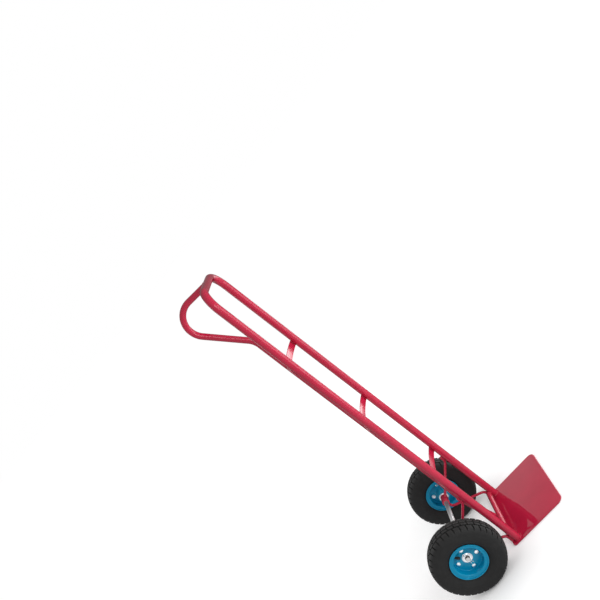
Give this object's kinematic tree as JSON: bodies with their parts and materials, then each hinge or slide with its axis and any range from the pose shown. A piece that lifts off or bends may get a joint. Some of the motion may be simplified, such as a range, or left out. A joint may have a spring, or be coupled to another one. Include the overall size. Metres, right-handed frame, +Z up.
{
  "type": "hand truck",
  "caption": "Upright tubular hand truck with a vertical loop handle, bowed crossbars, a flat toe plate and pneumatic wheels, for moving stacked loads by hand.",
  "frame": {"origin": "on the toe plate's underside, in the plane of the two rails, at mid-width", "axes": "+Z up along the rails, -Y towards the load side and the toe plate's outer edge, +X to the operator's left along the axle"},
  "size_m": [0.5054, 0.466, 1.3398],
  "materials": {
    "red_paint": "glossy crimson enamel over steel",
    "blue_paint": "glossy blue enamel over pressed steel",
    "axle_steel": "drawn bar",
    "zinc_plate": "bright zinc plate",
    "bearing_steel": "ground and polished",
    "tyre_rubber": "matte moulded rubber with block tread",
    "tube_rubber": "smooth rubber",
    "valve_rubber": "smooth rubber",
    "valve_plastic": "moulded cap"
  },
  "bodies": {
    "frame": {"main_frame_tube": "red_paint", "loop_handle_tube": "red_paint", "upper_crossbar": "red_paint", "middle_crossbar": "red_paint", "lower_crossbar": "red_paint", "bottom_crossbar": "red_paint", "toe_plate": "red_paint", "axle": "axle_steel", "left_upper_strut": "red_paint", "left_lower_strut": "red_paint", "left_axle_sleeve": "red_paint", "left_inner_washer": "zinc_plate", "left_outer_washer": "zinc_plate", "left_cotter_pin": "zinc_plate", "right_upper_strut": "red_paint", "right_lower_strut": "red_paint", "right_axle_sleeve": "red_paint", "right_inner_washer": "zinc_plate", "right_outer_washer": "zinc_plate", "right_cotter_pin": "zinc_plate"},
    "left_wheel": {"left_tyre": "tyre_rubber", "left_inner_tube": "tube_rubber", "left_rim_outer_half": "blue_paint", "left_rim_inner_half": "blue_paint", "left_rim_bolts": "zinc_plate", "left_rim_nuts": "zinc_plate", "left_hub_sleeve": "blue_paint", "left_bearing_outer_rings": "bearing_steel", "left_bearing_balls": "bearing_steel", "left_bearing_inner_rings": "bearing_steel", "left_bearing_spacer": "zinc_plate", "left_valve_stem": "valve_rubber", "left_valve_cap": "valve_plastic"},
    "right_wheel": {"right_tyre": "tyre_rubber", "right_inner_tube": "tube_rubber", "right_rim_outer_half": "blue_paint", "right_rim_inner_half": "blue_paint", "right_rim_bolts": "zinc_plate", "right_rim_nuts": "zinc_plate", "right_hub_sleeve": "blue_paint", "right_bearing_outer_rings": "bearing_steel", "right_bearing_balls": "bearing_steel", "right_bearing_inner_rings": "bearing_steel", "right_bearing_spacer": "zinc_plate", "right_valve_stem": "valve_rubber", "right_valve_cap": "valve_plastic"}
  },
  "joints": [
    {"name": "left_wheel_spin", "type": "hinge", "parent": "frame", "child": "left_wheel", "pos_m": [0.212, 0.136, 0.129], "axis": [1, 0, 0], "continuous": true},
    {"name": "right_wheel_spin", "type": "hinge", "parent": "frame", "child": "right_wheel", "pos_m": [-0.212, 0.136, 0.129], "axis": [1, 0, 0], "continuous": true}
  ]
}
